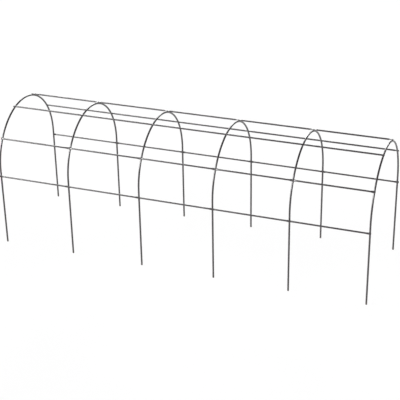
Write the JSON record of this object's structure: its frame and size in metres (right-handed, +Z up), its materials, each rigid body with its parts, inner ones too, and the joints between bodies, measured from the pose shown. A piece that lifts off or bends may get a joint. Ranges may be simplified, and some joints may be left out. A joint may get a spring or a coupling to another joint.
{
  "type": "trellis arch tunnel",
  "caption": "Free-standing garden tunnel: round-topped steel tube hoops in a row, tied by straight rails screwed to their outside, for climbing plants or netting.",
  "frame": {"origin": "on the ground under the middle of the tunnel: centre of the bounding box's bottom face", "axes": "+X along the tunnel, from the first hoop to the last; +Y across it, from the front row of legs to the back row; +Z up"},
  "size_m": [3.02, 0.9322, 1.098],
  "materials": {
    "hoop_tube": "satin powder coat, dark warm grey",
    "rail_tube": "satin powder coat, dark warm grey",
    "screw": "black phosphate, slightly oily, worn bright on its edges"
  },
  "bodies": {
    "root": {"arch_1": "hoop_tube", "arch_2": "hoop_tube", "arch_3": "hoop_tube", "arch_4": "hoop_tube", "arch_5": "hoop_tube", "arch_6": "hoop_tube", "leg_front_1": "hoop_tube", "leg_front_2": "hoop_tube", "leg_front_3": "hoop_tube", "leg_front_4": "hoop_tube", "leg_front_5": "hoop_tube", "leg_front_6": "hoop_tube", "leg_back_1": "hoop_tube", "leg_back_2": "hoop_tube", "leg_back_3": "hoop_tube", "leg_back_4": "hoop_tube", "leg_back_5": "hoop_tube", "leg_back_6": "hoop_tube", "rail_top_front": "rail_tube", "rail_top_back": "rail_tube", "rail_shoulder_front": "rail_tube", "rail_shoulder_back": "rail_tube", "rail_side_front": "rail_tube", "rail_side_back": "rail_tube", "screw_top_front_1": "screw", "screw_top_front_2": "screw", "screw_top_front_3": "screw", "screw_top_front_4": "screw", "screw_top_front_5": "screw", "screw_top_front_6": "screw", "screw_top_back_1": "screw", "screw_top_back_2": "screw", "screw_top_back_3": "screw", "screw_top_back_4": "screw", "screw_top_back_5": "screw", "screw_top_back_6": "screw", "screw_shoulder_front_1": "screw", "screw_shoulder_front_2": "screw", "screw_shoulder_front_3": "screw", "screw_shoulder_front_4": "screw", "screw_shoulder_front_5": "screw", "screw_shoulder_front_6": "screw", "screw_shoulder_back_1": "screw", "screw_shoulder_back_2": "screw", "screw_shoulder_back_3": "screw", "screw_shoulder_back_4": "screw", "screw_shoulder_back_5": "screw", "screw_shoulder_back_6": "screw", "screw_side_front_1": "screw", "screw_side_front_2": "screw", "screw_side_front_3": "screw", "screw_side_front_4": "screw", "screw_side_front_5": "screw", "screw_side_front_6": "screw", "screw_side_back_1": "screw", "screw_side_back_2": "screw", "screw_side_back_3": "screw", "screw_side_back_4": "screw", "screw_side_back_5": "screw", "screw_side_back_6": "screw"}
  },
  "joints": []
}
